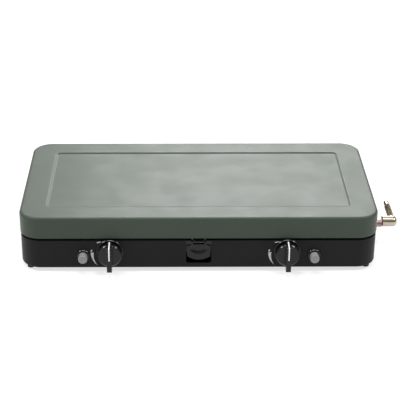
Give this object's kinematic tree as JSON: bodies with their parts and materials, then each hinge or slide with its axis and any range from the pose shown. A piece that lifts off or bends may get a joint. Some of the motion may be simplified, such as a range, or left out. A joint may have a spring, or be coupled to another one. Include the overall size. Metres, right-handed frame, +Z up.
{
  "type": "camping stove",
  "caption": "Portable gas camping stove with a hinged lid closed over its burners, rotary knobs, igniter buttons, a front latch and a hose tail.",
  "frame": {"origin": "on the ground under the middle of the stove's overall box, knobs and gas inlet included", "axes": "+X to the right along the width, +Y to the back, +Z up"},
  "size_m": [0.6022, 0.3239, 0.094],
  "materials": {
    "lid_green": "satin powder coat",
    "base_black": "satin powder coat",
    "tray_black": "gloss enamel",
    "black_plastic": "moulded, fine texture",
    "button_grey": "moulded, satin",
    "white_inlay": "smooth",
    "print_grey": "screen print",
    "rubber": "matt",
    "cast_aluminium": "as cast",
    "cap_enamel": "matt enamel",
    "zinc_steel": "bright zinc plate",
    "dark_steel": "black phosphate",
    "yellow_zinc": "yellow passivated zinc plate",
    "copper_pipe": "drawn",
    "brass": "machined",
    "chrome_wire": "bright chrome plate",
    "ceramic": "glazed ceramic",
    "lead_black": "smooth sleeve"
  },
  "bodies": {
    "base": {"base_shell": "base_black", "latch_pocket": "black_plastic", "hob_tray": "tray_black", "feet": "rubber", "foot_screws": "zinc_steel", "valve_nuts": "zinc_steel", "injectors": "brass", "tube_brackets": "zinc_steel", "burner_screws": "zinc_steel", "spark_insulators": "ceramic", "spark_pins": "zinc_steel", "igniter_nuts": "black_plastic", "panel_marks": "print_grey", "manifold_pipe": "cast_aluminium", "inlet_pipe": "copper_pipe", "inlet_nut": "brass", "hose_tail_elbow": "yellow_zinc", "hinge_pins": "zinc_steel", "bracket_rivets": "base_black", "latch_pin": "dark_steel", "lid_rests": "rubber", "valve_body_left": "brass", "valve_body_right": "brass", "venturi_tube_left": "zinc_steel", "venturi_tube_right": "zinc_steel", "burner_cup_left": "cast_aluminium", "burner_cup_right": "cast_aluminium", "burner_head_left": "cast_aluminium", "burner_head_right": "cast_aluminium", "burner_cap_left": "cap_enamel", "burner_cap_right": "cap_enamel", "ignition_lead_left": "lead_black", "ignition_lead_right": "lead_black", "igniter_body_left": "black_plastic", "igniter_body_right": "black_plastic", "knob_bezel_left": "black_plastic", "knob_bezel_right": "black_plastic", "hinge_bracket_left": "base_black", "hinge_bracket_right": "base_black"},
    "lid": {"lid_shell": "lid_green", "hinge_leaf_left": "lid_green", "hinge_leaf_right": "lid_green", "leaf_rivets": "lid_green"},
    "latch": {"latch_tab": "black_plastic", "latch_spring": "dark_steel"},
    "valve_left": {"valve_plug_left": "brass"},
    "knob_left": {"knob_left": "black_plastic", "spindle_left": "zinc_steel", "knob_pointer_left": "white_inlay", "knob_spring_left": "zinc_steel"},
    "button_left": {"igniter_button_left": "button_grey"},
    "support_left": {"pan_support_left": "chrome_wire"},
    "valve_right": {"valve_plug_right": "brass"},
    "knob_right": {"knob_right": "black_plastic", "spindle_right": "zinc_steel", "knob_pointer_right": "white_inlay", "knob_spring_right": "zinc_steel"},
    "button_right": {"igniter_button_right": "button_grey"},
    "support_right": {"pan_support_right": "chrome_wire"}
  },
  "joints": [
    {"name": "lid_hinge", "type": "hinge", "parent": "base", "child": "lid", "pos_m": [-0.02115, 0.15835, 0.05675], "axis": [-1, 0, 0], "range_deg": [0, 100]},
    {"name": "latch_pull", "type": "hinge", "parent": "base", "child": "latch", "pos_m": [-0.02115, -0.12945, 0.0502], "axis": [-1, 0, 0], "range_deg": [0, 25], "stiffness_Nm_per_rad": 0.05, "springref_deg": -17.19},
    {"name": "valve_turn_left", "type": "hinge", "parent": "base", "child": "valve_left", "pos_m": [-0.15975, -0.13395, 0.0338], "axis": [0, -1, 0], "range_deg": [0, 135]},
    {"name": "knob_push_left", "type": "slide", "parent": "valve_left", "child": "knob_left", "axis": [0, 1, 0], "range_m": [0, 0.003], "stiffness_N_per_m": 1500, "springref_m": -0.002, "deforming": ["knob_spring_left"]},
    {"name": "button_press_left", "type": "slide", "parent": "base", "child": "button_left", "axis": [0, 1, 0], "range_m": [0, 0.006], "stiffness_N_per_m": 1500, "springref_m": -0.003},
    {"name": "support_lift_left", "type": "slide", "parent": "base", "child": "support_left", "axis": [0, 0, 1], "range_m": [0, 0.01]},
    {"name": "valve_turn_right", "type": "hinge", "parent": "base", "child": "valve_right", "pos_m": [0.11745, -0.13395, 0.0338], "axis": [0, -1, 0], "range_deg": [0, 135]},
    {"name": "knob_push_right", "type": "slide", "parent": "valve_right", "child": "knob_right", "axis": [0, 1, 0], "range_m": [0, 0.003], "stiffness_N_per_m": 1500, "springref_m": -0.002, "deforming": ["knob_spring_right"]},
    {"name": "button_press_right", "type": "slide", "parent": "base", "child": "button_right", "axis": [0, 1, 0], "range_m": [0, 0.006], "stiffness_N_per_m": 1500, "springref_m": -0.003},
    {"name": "support_lift_right", "type": "slide", "parent": "base", "child": "support_right", "axis": [0, 0, 1], "range_m": [0, 0.01]}
  ]
}
